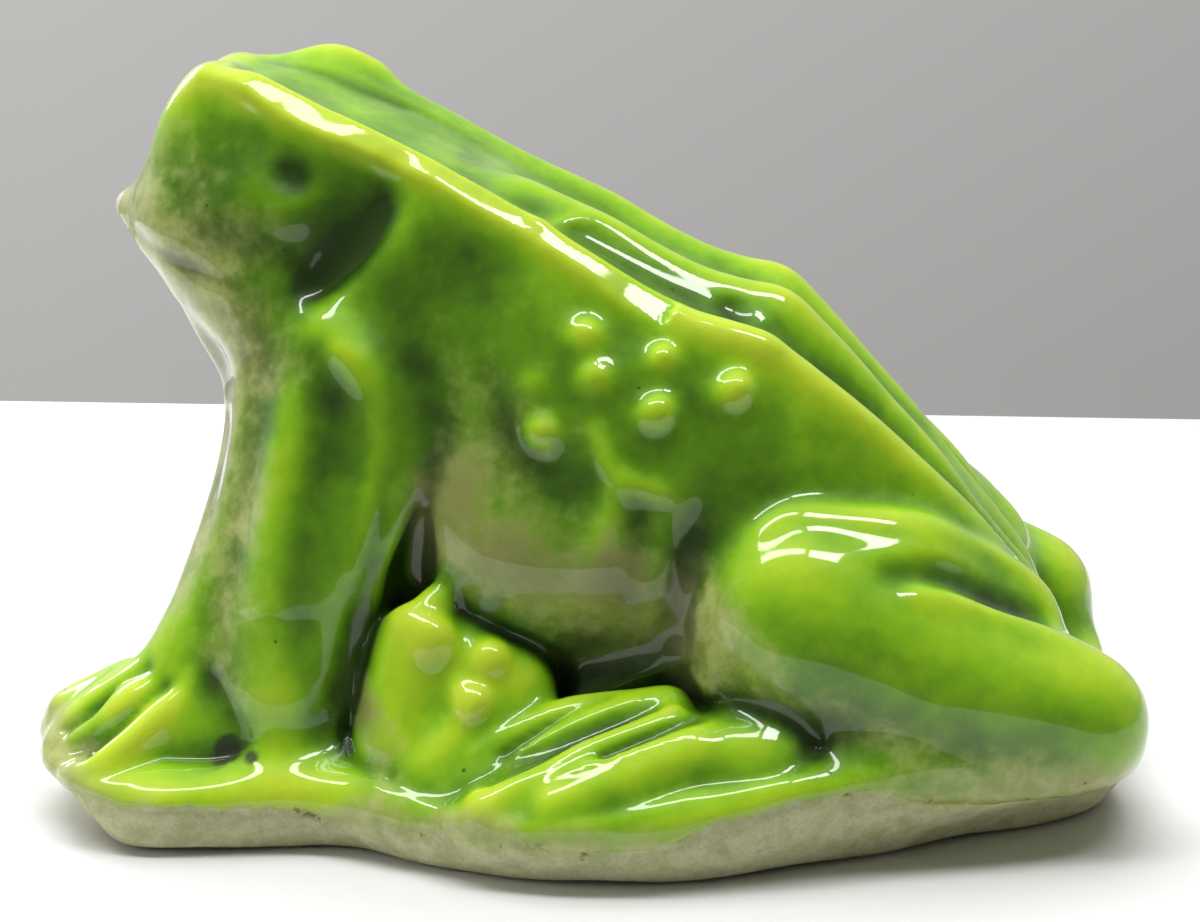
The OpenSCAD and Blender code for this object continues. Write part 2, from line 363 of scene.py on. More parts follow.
# The throat is one hollow curve from the mouth to the foreleg, and the cheek runs down into it
stroke(body, [(-12.2, -1.8, 14.3, 0.1), (-11.6, -1.7, 13.4, 0.35), (-11.2, -1.7, 12.7, 0.4),
              (-10.9, -1.7, 12.1, 0.3)], 0.9)
stroke(body, [(-11.6, -2.9, 15.0, 0.2), (-10.8, -3.3, 14.4, 0.5), (-9.8, -3.7, 14.1, 0.7),
              (-8.9, -3.9, 14.1, 0.75)], 1.0)
stroke(body, [(-12.0, -2.9, 15.8, 0.1), (-10.5, -3.8, 15.5, 0.3), (-9.2, -4.0, 15.4, 0.4)], 0.9)
# Snout
stroke(body, [(-14.3, -0.2, 17.0, 0.25), (-14.3, -0.6, 17.0, 0.2)], 0.5)
stroke(body, [(-13.9, -1.4, 16.6, -0.1), (-12.8, -2.9, 16.1, -0.16), (-11.5, -3.7, 15.7, -0.14),
              (-10.0, -4.2, 15.3, -0.05)], 0.3)
# Eye dimple
stroke(body, [(-8.4, -4.4, 18.5, -0.42), (-8.2, -4.4, 18.4, -0.42)], 0.5)
# Jaw crease: steep behind, easy ahead
stroke(body, [(-5.6, -4.2, 18.5, -0.1), (-5.8, -4.4, 17.6, -0.4), (-6.3, -4.6, 16.8, -0.55),
              (-7.0, -4.5, 16.0, -0.55), (-7.7, -4.3, 15.3, -0.35), (-8.3, -4.4, 14.8, -0.05)],
       0.5)
stroke(body, [(-6.2, -4.2, 18.0, -0.1), (-6.8, -4.5, 16.9, -0.3), (-7.8, -4.4, 15.8, -0.2)], 1.1)
stroke(body, [(-5.0, -4.5, 18.2, 0.02), (-5.2, -4.7, 17.2, 0.12), (-5.8, -4.9, 16.2, 0.12),
              (-6.8, -4.9, 15.2, 0.06)], 0.7)

# Foreleg: the groove between its two lobes, then each lobe's crest
stroke(body, [(-7.5, -5.7, 13.4, -0.25), (-7.2, -6.2, 12.3, -0.5), (-7.1, -6.4, 11.2, -0.5),
              (-7.3, -6.6, 10.2, -0.38), (-7.5, -6.9, 9.2, -0.26), (-7.7, -7.1, 7.6, -0.18),
              (-7.8, -7.2, 6.0, -0.18), (-8.0, -7.2, 4.8, -0.08)], 0.75)
stroke(body, [(-7.4, -5.2, 14.2, 0.1), (-6.4, -5.7, 13.5, 0.2), (-5.6, -5.8, 12.6, 0.25),
              (-5.4, -5.9, 11.2, 0.22), (-5.8, -6.2, 9.4, 0.16), (-6.3, -6.5, 7.7, 0.14),
              (-6.8, -6.8, 6.4, 0.12), (-7.3, -7.0, 4.8, 0.06)], 0.7)
stroke(body, [(-8.4, -5.8, 12.2, 0.1), (-8.5, -6.2, 10.4, 0.2), (-8.7, -6.7, 8.9, 0.2),
              (-8.8, -7.1, 6.9, 0.12)], 0.8)
stroke(body, [(-9.8, -5.6, 10.5, -0.1), (-10.2, -6.2, 8.5, -0.18), (-10.6, -6.6, 6.5, -0.15)], 0.6)
stroke(body, [(-10.7, -3.6, 12.0, -0.25), (-10.9, -3.9, 11.0, -0.5), (-11.1, -4.2, 9.8, -0.5),
              (-11.3, -4.7, 8.4, -0.3), (-11.7, -5.2, 6.6, -0.2)], 0.95)
stroke(body, [(-5.0, -5.5, 12.2, 0.15), (-5.0, -5.7, 10.8, 0.35), (-5.2, -5.9, 9.2, 0.45),
              (-5.5, -6.1, 7.8, 0.35), (-5.8, -6.5, 6.6, 0.1)], 0.55)
stroke(body, [(-6.5, -6.5, 6.6, -0.1), (-6.5, -6.9, 5.4, -0.25), (-6.7, -7.1, 4.2, -0.3)], 0.4)
stroke(body, [(-7.2, -5.9, 14.0, 0.05), (-6.4, -5.9, 13.5, 0.14), (-5.9, -5.9, 12.6, 0.16),
              (-5.7, -6.0, 11.2, 0.16), (-6.0, -6.4, 9.4, 0.14), (-6.4, -6.7, 7.7, 0.1)], 0.32)
# The stone's corner, next to the foreleg
lump(body, [(-4.7, -6.6, 6.0, 0.85), (-5.0, -6.8, 4.4, 1.05), (-5.2, -7.0, 2.8, 1.1)], 0.4)
# The foreleg flares where it meets the foot
stroke(body, [(-8.6, -7.1, 6.4, 0.1), (-8.6, -7.3, 5.2, 0.3), (-8.6, -7.4, 4.2, 0.5),
              (-8.6, -7.6, 3.4, 0.45)], 1.2)
# The gap behind the foreleg, and the belly's front edge
stroke(body, [(-4.4, -5.2, 12.0, 0.15), (-4.5, -5.2, 11.0, 0.35), (-4.6, -5.2, 10.2, 0.25)], 0.6)
stroke(body, [(-4.6, -5.5, 9.4, -0.15), (-4.7, -5.7, 8.4, -0.6), (-4.9, -5.8, 7.4, -1.0),
              (-4.9, -5.9, 6.6, -0.9)], 0.5)
stroke(body, [(-2.9, -5.8, 12.4, 0.1), (-3.3, -5.8, 10.9, 0.2), (-3.6, -6.0, 9.3, 0.25),
              (-3.5, -6.0, 7.6, 0.2)], 0.8)
# The belly hangs down full before it turns under
stroke(body, [(-3.0, -6.0, 8.6, 0.25), (-1.0, -6.4, 8.0, 0.4), (1.2, -6.7, 7.6, 0.35)], 1.5)
stroke(body, [(-2.6, -6.0, 12.9, -0.15), (-2.2, -6.2, 11.7, -0.2), (-1.6, -6.5, 11.0, -0.15)], 0.5)
# Folds of the belly
stroke(body, [(0.3, -6.5, 11.8, 0.1), (0.9, -6.7, 10.6, 0.2), (2.1, -6.8, 10.1, 0.12)], 0.35)
stroke(body, [(0.9, -6.7, 10.0, 0.12), (0.6, -6.8, 9.0, 0.16), (0.5, -6.8, 8.0, 0.14),
              (0.4, -6.5, 6.3, 0.05)], 0.45)
stroke(body, [(1.6, -6.8, 9.6, -0.1), (1.5, -6.9, 8.4, -0.14), (1.3, -6.8, 7.2, -0.1)], 0.45)
stroke(body, [(3.4, -6.6, 9.9, -0.1), (3.0, -6.7, 8.8, -0.25), (2.8, -6.8, 7.6, -0.3),
              (2.6, -6.8, 6.2, -0.3)], 0.5)

# Thigh and shin
stroke(body, [(4.2, -7.2, 8.7, 0.05), (5.1, -7.0, 9.4, 0.18), (5.9, -6.7, 9.6, 0.22),
              (7.5, -6.4, 9.5, 0.25), (8.8, -6.0, 9.2, 0.25), (10.2, -5.4, 8.7, 0.28),
              (11.7, -4.6, 7.9, 0.28), (12.7, -4.1, 6.9, 0.25), (13.1, -4.3, 6.2, 0.15)], 0.5)
stroke(body, [(7.9, -7.6, 8.1, -0.05), (9.2, -7.2, 8.1, -0.3), (10.4, -6.6, 7.7, -0.45),
              (11.6, -6.0, 7.0, -0.45), (12.7, -5.3, 6.4, -0.35)], 0.42)
stroke(body, [(9.2, -7.5, 7.6, 0.1), (10.6, -7.0, 7.2, 0.16), (12.0, -6.5, 6.5, 0.16),
              (13.4, -6.1, 5.7, 0.12), (14.5, -6.0, 5.1, 0.05)], 0.45)
stroke(body, [(4.0, -8.6, 5.0, -0.1), (5.2, -9.0, 4.6, -0.2), (6.6, -9.1, 4.2, -0.15)], 0.7)

# Hind toes: four crests and the valleys between them
stroke(body, [(1.0, -7.1, 4.6, 0.05), (-0.2, -7.5, 4.4, 0.15), (-1.4, -8.0, 3.9, 0.2),
              (-2.2, -8.3, 3.5, 0.2), (-2.9, -8.6, 3.1, 0.12)], 0.24, sharp=True)
stroke(body, [(1.5, -7.8, 4.5, 0.1), (0.3, -8.2, 4.1, 0.18), (-0.8, -8.6, 3.7, 0.2),
              (-2.0, -9.0, 3.2, 0.15), (-3.0, -9.3, 2.7, 0.08)], 0.24, sharp=True)
stroke(body, [(2.7, -8.1, 4.5, 0.2), (1.3, -8.8, 4.0, 0.25), (0.1, -9.3, 3.6, 0.22),
              (-0.8, -9.9, 3.1, 0.1)], 0.26, sharp=True)
stroke(body, [(3.6, -8.8, 4.2, 0.15), (2.8, -9.2, 4.0, 0.22), (1.6, -9.6, 3.7, 0.22),
              (0.4, -9.9, 3.4, 0.18), (-0.6, -10.1, 3.0, 0.08)], 0.26, sharp=True)
stroke(body, [(0.8, -7.5, 4.4, -0.1), (-0.6, -8.1, 3.9, -0.15), (-2.0, -8.7, 3.2, -0.12)], 0.18)
stroke(body, [(2.0, -8.1, 4.3, -0.15), (0.4, -8.8, 3.7, -0.3), (-1.0, -9.3, 3.2, -0.3),
              (-2.2, -9.7, 2.6, -0.2)], 0.34)
stroke(body, [(3.1, -8.5, 4.2, -0.15), (2.0, -9.1, 3.9, -0.22), (0.8, -9.6, 3.5, -0.22)], 0.2)

# Front toes
stroke(body, [(-12.5, -5.3, 4.8, 0.1), (-13.6, -5.4, 4.2, 0.2), (-14.8, -5.7, 3.2, 0.2),
              (-15.7, -5.9, 2.3, 0.1)], 0.35, sharp=True)
stroke(body, [(-12.4, -6.0, 4.4, -0.15), (-13.6, -6.2, 3.5, -0.3), (-14.8, -6.4, 2.6, -0.25)], 0.3)
stroke(body, [(-13.4, -6.7, 3.4, 0.08), (-14.4, -6.8, 2.7, 0.16), (-14.9, -7.0, 2.2, 0.1)], 0.35)
stroke(body, [(-11.9, -6.6, 4.0, -0.2), (-12.9, -7.1, 3.2, -0.35), (-13.8, -7.6, 2.4, -0.3)], 0.34)
stroke(body, [(-11.1, -6.8, 4.4, 0.12), (-11.8, -7.3, 3.6, 0.22), (-12.6, -7.8, 3.0, 0.2),
              (-13.3, -8.2, 2.5, 0.1)], 0.35)


def ball_centres(name):
    """The middles of a node's separate balls."""
    points, triangles = node_mesh(name)
    parent = np.arange(len(points))
    key = {}
    for i, p in enumerate(np.round(points, 3)):
        parent[i] = key.setdefault(tuple(p), i)
    for _ in range(40):
        for a, b in ((0, 1), (1, 2), (2, 0)):
            m = np.minimum(parent[triangles[:, a]], parent[triangles[:, b]])
            np.minimum.at(parent, triangles[:, a], m)
            np.minimum.at(parent, triangles[:, b], m)
        parent = parent[parent]
    for group in np.unique(parent[triangles[:, 0]]):
        own = points[np.unique(triangles[parent[triangles[:, 0]] == group])]
        yield (own.min(0) + own.max(0)) / 2


# Warts, as low round bumps where the CAD has its balls
for name in WARTS:
    lift, width = (0.3, 0.42) if "stone" in name else (0.17, 0.52)
    for middle in ball_centres(name):
        stroke(body, [(*middle, lift), (*(middle + 1e-3), lift)], width, sides=(0,))

body += WAVES * waves((slice(None),) * 3, SEED, WAVE_LENGTH)

# ---------------------------------------------------------------- glaze edge and base
EDGE_DROP = 0.25       # how far below the rim the glaze ends
GLAZE_STEP = 0.10      # how far the bare body stands back from the glaze's skin
RIM_STEPS = 96
HALF_LENGTH, HALF_WIDTH = 16.0, 11.0


def bearing(x, y):
    """The direction from the middle, evened out for the plinth's oval."""
    return np.arctan2(y / HALF_WIDTH, x / HALF_LENGTH)


angle = bearing(x, y)
wobble = (0.16 * np.sin(5 * angle + 1.0) + 0.1 * np.sin(11 * angle + 2.0)
          + 0.07 * np.sin(23 * angle + 0.5) + 0.05 * np.sin(41 * angle))


def rim_height():
    """Height of the plinth's rim in each direction from the middle, from the ground's own mesh."""
    points, _ = node_mesh("ground")
    outer = []
    a = bearing(points[:, 0], points[:, 1])
    r = np.hypot(points[:, 0], points[:, 1])
    mids = (np.arange(RIM_STEPS) + 0.5) / RIM_STEPS * 2 * math.pi - math.pi
    for mid in mids:
        gap = np.abs((a - mid + math.pi) % (2 * math.pi) - math.pi)
        near = gap < 0.09
        far = near & (r > 0.97 * r[near].max())
        outer.append(points[far, 2].min())
    outer = np.array(outer)
    smooth = sum(np.roll(outer, k) for k in (-2, -1, 0, 1, 2)) / 5
    return np.interp(angle, mids, smooth, period=2 * math.pi)


rim = rim_height()
line = (rim - EDGE_DROP + wobble).astype(np.float32)
above = z - line
body += GLAZE_STEP * (1 - step(above, -0.10, 0.08)).astype(np.float32) * step(-above, -0.3, 0.1)
flat = (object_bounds()[0].z / MM) - z
body = np.maximum(body, (flat + 0 * (x + y)).astype(np.float32))

based = np.isin(label, [LABEL["plinth"], LABEL["ground"]])
label = np.where(based, np.where(above > 0, LABEL["ground"], LABEL["plinth"]), label)
label = label.astype(np.uint8)

# Just under the skin a label runs straight down from the surface, so pieces meet at right angles
# to it.
skin_at = np.argwhere((body < 0) & (body > -4 * H))
inside = ((skin_at > 0) & (skin_at < np.array(shape) - 1)).all(1)
skin_at = skin_at[inside]
depth = body[tuple(skin_at.T)]
slope = np.zeros(skin_at.shape)
for axis in range(3):
    ahead, behind = skin_at.copy(), skin_at.copy()
    ahead[:, axis] += 1
    behind[:, axis] -= 1
    slope[:, axis] = body[tuple(ahead.T)] - body[tuple(behind.T)]
slope = unit(slope)
above_it = np.round(skin_at - slope * (depth / H)[:, None]).astype(int)
above_it = np.clip(above_it, 0, np.array(shape) - 1)
label[tuple(skin_at.T)] = label[tuple(above_it.T)]
label = np.where(body > 0, 0, label).astype(np.uint8)


# ---------------------------------------------------------------- mesh
# A surface net: one point in each cell where the label changes, and a quad across each change.

WALL_DEPTH, TIP_DEPTH = 0.7, 0.6      # voxels that the walls between pieces go in from the skin


def corners(a):
    """Each cell's eight corners, as the corner and its values."""
    n = [s - 1 for s in a.shape]
    for i in (0, 1):
        for j in (0, 1):
            for k in (0, 1):
                yield (i, j, k), a[i:i + n[0], j:j + n[1], k:k + n[2]]


small, large = None, None
for _, c in corners(label):
    small = c.copy() if small is None else np.minimum(small, c)
    large = c.copy() if large is None else np.maximum(large, c)
mixed = small != large
cell = np.full(mixed.shape, -1, np.int32)
cell[mixed] = np.arange(mixed.sum())
where = np.argwhere(mixed)
outer_cell = (small == 0)[mixed]
count = len(where)

total = np.zeros((count, 3))
hits = np.zeros(count)
value = {}
tag = {}
for key, c in corners(body):
    value[key] = c[mixed].astype(float)
for key, c in corners(label):
    tag[key] = c[mixed]
for axis in range(3):
    for key in value:
        if key[axis]:
            continue
        other = list(key)
        other[axis] = 1
        other = tuple(other)
        a, b = value[key], value[other]
        cross = (tag[key] == 0) != (tag[other] == 0)
        split = tag[key] != tag[other]
        use = np.where(outer_cell, cross, split)
        t = np.where(cross, a / np.where(np.abs(a - b) < 1e-9, 1, a - b), 0.5)
        p = np.tile(np.array(key, float), (count, 1))
        p[:, axis] = np.clip(t, 0, 1)
        total += np.where(use[:, None], p, 0)
        hits += use
verts = (where + total / np.maximum(hits, 1)[:, None] + first) * H


def trilinear(field, p):
    """The field's value at points given in its own steps."""
    i = np.clip(np.floor(p).astype(int), 0, np.array(field.shape) - 2)
    f = np.clip(p - i, 0, 1)
    out = 0
    for a in (0, 1):
        for b in (0, 1):
            for c in (0, 1):
                w = (f[:, 0] if a else 1 - f[:, 0]) * (f[:, 1] if b else 1 - f[:, 1]) \
                    * (f[:, 2] if c else 1 - f[:, 2])
                out = out + w * field[i[:, 0] + a, i[:, 1] + b, i[:, 2] + c]
    return out


def sample(field, points):
    return trilinear(field, points / H - first)


def rise_over(field, points, e):
    """How much the field rises along each axis, from e before each point to e past it."""
    out = np.zeros((len(points), 3))
    for axis in range(3):
        d = np.zeros(3)
        d[axis] = e
        out[:, axis] = sample(field, points + d) - sample(field, points - d)
    return out


def gradient(points, reach):
    return rise_over(body, points, reach) / (2 * reach)


for _ in range(2):
    g = gradient(verts[outer_cell], H * 0.5)
    v = sample(body, verts[outer_cell]) / np.maximum((g * g).sum(1), 0.05)
    verts[outer_cell] -= np.clip(v, -0.5 * H, 0.5 * H)[:, None] * g
deep = ~outer_cell
for _ in range(3):
    g = gradient(verts[deep], H)
    v = sample(body, verts[deep])
    verts[deep] -= np.clip(v + WALL_DEPTH * H, 0, H)[:, None] * g

faces = {i: [] for i in LABEL.values()}        # quads, and which of them are skin
fans = {i: [] for i in LABEL.values()}         # triangles of the walls between pieces
for axis in range(3):
    u, v = (axis + 1) % 3, (axis + 2) % 3
    a = [slice(1, -1)] * 3
    b = [slice(1, -1)] * 3
    a[axis] = slice(0, -1)
    b[axis] = slice(1, None)
    la, lb = label[tuple(a)], label[tuple(b)]
    hit = np.argwhere(la != lb)
    base = hit.copy()
    base[:, u] += 1
    base[:, v] += 1
    quad = []
    for du, dv in ((1, 1), (0, 1), (0, 0), (1, 0)):
        c = base.copy()
        c[:, u] -= du
        c[:, v] -= dv
        quad.append(cell[c[:, 0], c[:, 1], c[:, 2]])
    quad = np.stack(quad, 1)
    ta, tb = la[la != lb], lb[la != lb]
    skin = (ta == 0) | (tb == 0)
    # A wall with three corners or more on the skin would break through it, so it dips to a point.
    dips = ~skin & (outer_cell[quad].sum(1) > 2)
    tip = len(verts) + np.arange(dips.sum())
    bottom = verts[quad[dips]].mean(1)
    for _ in range(3):
        bottom -= (sample(body, bottom) + TIP_DEPTH * H)[:, None] * gradient(bottom, H)
    verts = np.vstack([verts, bottom])
    outer_cell = np.append(outer_cell, np.zeros(len(tip), bool))
    fan = np.stack([np.stack([quad[dips][:, k], quad[dips][:, (k + 1) % 4], tip], 1)
                    for k in range(4)], 1)
    for i in LABEL.values():
        for tags, turn in ((ta, 1), (tb, -1)):
            own = (tags == i) & ~dips
            faces[i].append((quad[own][:, ::turn], skin[own]))
            fans[i].append(fan[tags[dips] == i].reshape(-1, 3)[:, ::turn])

normals = unit(gradient(verts, H * 0.8))

# ---------------------------------------------------------------- what the glaze does on each spot, and where light and shade are painted

wide = blur(np.clip(body, -1.0, 1.0), 0.9)
near = blur(np.clip(body, -0.6, 0.6), 0.35)

# Openness from above, for the painted shade in deep gaps: light goes down through the grid and
# spreads, and the body stops it.
STRIDE = 4
TO_SIDE, STRAIGHT_DOWN = 0.15, 0.4
solid = (body[::STRIDE, ::STRIDE, ::STRIDE] < 0).astype(np.float32)
light = np.ones_like(solid)
layer = np.ones(solid.shape[:2], np.float32)
for k in range(solid.shape[2] - 1, -1, -1):
    grown = np.pad(layer, 1, mode="edge")
    layer = sum(grown[a:a + layer.shape[0], b:b + layer.shape[1]] * w for a, b, w in (
        (0, 1, TO_SIDE), (2, 1, TO_SIDE), (1, 0, TO_SIDE), (1, 2, TO_SIDE), (1, 1, STRAIGHT_DOWN)))
    light[:, :, k] = layer
    layer = layer * (1 - solid[:, :, k])
for axis in range(3):
    light = (np.roll(light, 1, axis) + 2 * light + np.roll(light, -1, axis)) / 4

broad = unit(rise_over(wide, verts, 0.3))
SPRAY_FROM = np.array([0.58, 0.0, 0.81])


def patches(places, mirrored=True):
    """Soft round patches, each a place and a radius, the same on both sides or only there."""
    out = np.zeros(len(verts))
    at = np.stack([verts[:, 0], -np.abs(verts[:, 1]), verts[:, 2]], 1) if mirrored else verts
    for place, radius in places:
        out = np.maximum(out, np.exp(-((at - np.array(place)) ** 2).sum(1) / radius ** 2))
    return out


# Painted light: lighter spots on the stone, the ground before the leg and the front foot, which
# lie in shade
light_and_shade_spots = patches((((-3.9, -7.7, 4.9), 1.9), ((-7.6, -8.4, 2.3), 1.6), ((-12.2, -7.5, 3.2), 1.4)))
# Painted shade, which is below 0: darker spots on the face, the foreleg's rear lobe and the hind
# foot
light_and_shade_spots -= 0.45 * patches((((-10.2, -4.0, 18.0), 2.1), ((-6.0, -6.4, 8.4), 1.8),
                        ((0.6, -9.2, 3.8), 1.9)))
# Where the spray missed: the belly and the side of the stone, whose film there is also darkened as
# painted shade
missed_and_shaded = patches((((-3.4, -5.9, 9.8), 1.5), ((-1.5, -6.3, 8.6), 1.8), ((1.0, -6.8, 7.6), 1.5),
                  ((-6.1, -7.6, 3.8), 0.9)))
SURFACE = {
    "pool_wide": -sample(wide, verts),                   # above 0 in hollows, below on crests
    "pool_near": -sample(near, verts),
    "spray": broad @ SPRAY_FROM,
    # how open a spot is from above, for the painted shade in the gaps
    "open": trilinear(light, ((verts + broad * 0.8) / H - first) / STRIDE),
    "upward": broad[:, 2],
    "stain": patches((((-9.9, -7.7, 2.6), 0.6), ((-9.2, -7.9, 2.5), 0.35)), mirrored=False),
    "chip": patches((((-14.4, -0.3, 17.0), 0.55), ((-15.9, -6.4, 1.8), 0.6)), mirrored=False),
    "above": verts[:, 2] - sample(line + 0 * z, verts),  # height over the glaze's lower edge
    # painted light and shade in set spots
    "light_and_shade_spots": light_and_shade_spots,
    "missed_and_shaded": missed_and_shaded,
}


def piece(name):
    """The closed piece that stands for a node, with its glaze's values on its points."""
    index = LABEL[name]
    quads = np.concatenate([q for q, _ in faces[index]])
    skin = np.concatenate([on for _, on in faces[index]])
    tris = np.concatenate(fans[index])
    corner_list = np.concatenate([quads.ravel(), tris.ravel()])
    used, loops = np.unique(corner_list, return_inverse=True)
    starts = np.concatenate([np.arange(len(quads)) * 4, quads.size + np.arange(len(tris)) * 3])
    mesh = bpy.data.meshes.new("glazed_" + name)
    mesh.vertices.add(len(used))
    mesh.vertices.foreach_set("co", (verts[used] * MM).astype(np.float32).ravel())
    mesh.loops.add(len(loops))
    mesh.loops.foreach_set("vertex_index", loops.astype(np.int32))
    mesh.polygons.add(len(starts))
    mesh.polygons.foreach_set("loop_start", starts.astype(np.int32))
    mesh.polygons.foreach_set("use_smooth", np.append(skin, np.zeros(len(tris), bool)))
    mesh.update(calc_edges=True)
    for attribute, values in SURFACE.items():
        own = mesh.attributes.new(attribute, "FLOAT", "POINT")
        own.data.foreach_set("value", values[used].astype(np.float32))
    skin_normals = np.where(outer_cell[used][:, None], normals[used], 0)
    mesh.normals_split_custom_set_from_vertices(skin_normals.tolist())
    obj = bpy.data.objects.new("frog_" + name, mesh)
    bpy.context.scene.collection.objects.link(obj)
    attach(obj, "root")
    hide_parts(name)
    return obj


pieces = {name: piece(name) for name in NODES}


# ---------------------------------------------------------------- materials

class Nodes:
    """Short calls for building one material's nodes."""

    def __init__(self, name):
        self.material = bpy.data.materials.new(name)
        self.material.use_nodes = True
        self.tree = self.material.node_tree
        self.tree.nodes.clear()

    def new(self, kind, values=None, **settings):
        node = self.tree.nodes.new(kind)
        for key, v in settings.items():
            setattr(node, key, v)
        for key, v in (values or {}).items():
            self.give(node.inputs[key], v)
        return node

    def give(self, socket, v):
        if isinstance(v, bpy.types.NodeSocket):
            self.tree.links.new(v, socket)
        else:
            socket.default_value = v

    def math(self, operation, a, b=0.0, c=0.0, clamp=False):
        return self.new("ShaderNodeMath", {0: a, 1: b, 2: c}, operation=operation,
                        use_clamp=clamp).outputs[0]

    def span(self, v, a, b, lo=0.0, hi=1.0, kind="SMOOTHSTEP"):
        return self.new("ShaderNodeMapRange", {"Value": v, "From Min": a, "From Max": b,
                                               "To Min": lo, "To Max": hi},
                        interpolation_type=kind).outputs["Result"]

    def sway(self, noise, amount):
        """The middle of a noise, spread evenly to this much either way."""
        return self.span(noise, 0.3, 0.7, -amount, amount, "LINEAR")

    def total(self, part, *others):
        for other in others:
            part = self.math("ADD", part, other)
        return part

    def attribute(self, name):
        return self.new("ShaderNodeAttribute", attribute_name=name).outputs["Fac"]

    def noise(self, vector, scale, detail, rough):
        return self.new("ShaderNodeTexNoise", {"Vector": vector, "Scale": scale, "Detail": detail,
                                               "Roughness": rough}).outputs["Fac"]

    def mix(self, share, a, b):
        node = self.new("ShaderNodeMix", data_type="RGBA")
        for key, v in (("Factor_Float", share), ("A_Color", a), ("B_Color", b)):
            socket = next(s for s in node.inputs if s.identifier == key)
            self.give(socket, v)
        return next(s for s in node.outputs if s.identifier == "Result_Color")

    def ramp(self, v, stops):
        node = self.new("ShaderNodeValToRGB", {"Fac": v})
        while len(node.color_ramp.elements) < len(stops):
            node.color_ramp.elements.new(0.5)
        for element, (at, colour) in zip(node.color_ramp.elements, stops):
            element.position, element.color = at, colour
        return node.outputs["Color"]


def srgb(r, g, b):
    """A colour given as it looks on a screen, 0 to 255."""
    return (*(((c / 255 + 0.055) / 1.055) ** 2.4 if c > 10 else c / 255 / 12.92
              for c in (r, g, b)), 1)


# The glaze, from a thin coat to a deep pool
GREENS = [(0.0, srgb(188, 214, 46)), (0.2, srgb(164, 204, 30)), (0.42, srgb(132, 184, 22)),
          (0.62, srgb(98, 148, 14)), (0.82, srgb(70, 112, 12)), (1.0, srgb(42, 70, 14))]
# A thin film of it over the grey-white body, where the spray missed, and a darker film in the
# missed patches as painted shade
FILM_PALE, FILM_GREEN = srgb(176, 184, 112), srgb(152, 162, 84)
FILM_MISSED_SHADED, FILM_DEEP = srgb(130, 134, 72), srgb(108, 112, 68)
# Painted shade for the deep gaps, the bare white of chips, a dark blot and dark specks
GAP_SHADE, CHIP, BLOT, SPECK = srgb(74, 78, 46), srgb(214, 214, 184), srgb(44, 46, 34), srgb(52, 60, 26)
# The bare body
BARE_PALE, BARE_DARK, BARE_GRAIN = srgb(202, 202, 162), srgb(174, 176, 128), srgb(150, 152, 112)
BARE_STAIN, BARE_DIRT = srgb(150, 170, 80), srgb(92, 74, 30)
BARE_ROUGH, GLAZED_ROUGH = 0.72, 0.42
# Bump heights, in millimetres
PEEL, SAND_BARE, SAND_GLAZED, PIT = 0.05, 0.032, 0.002, 0.03


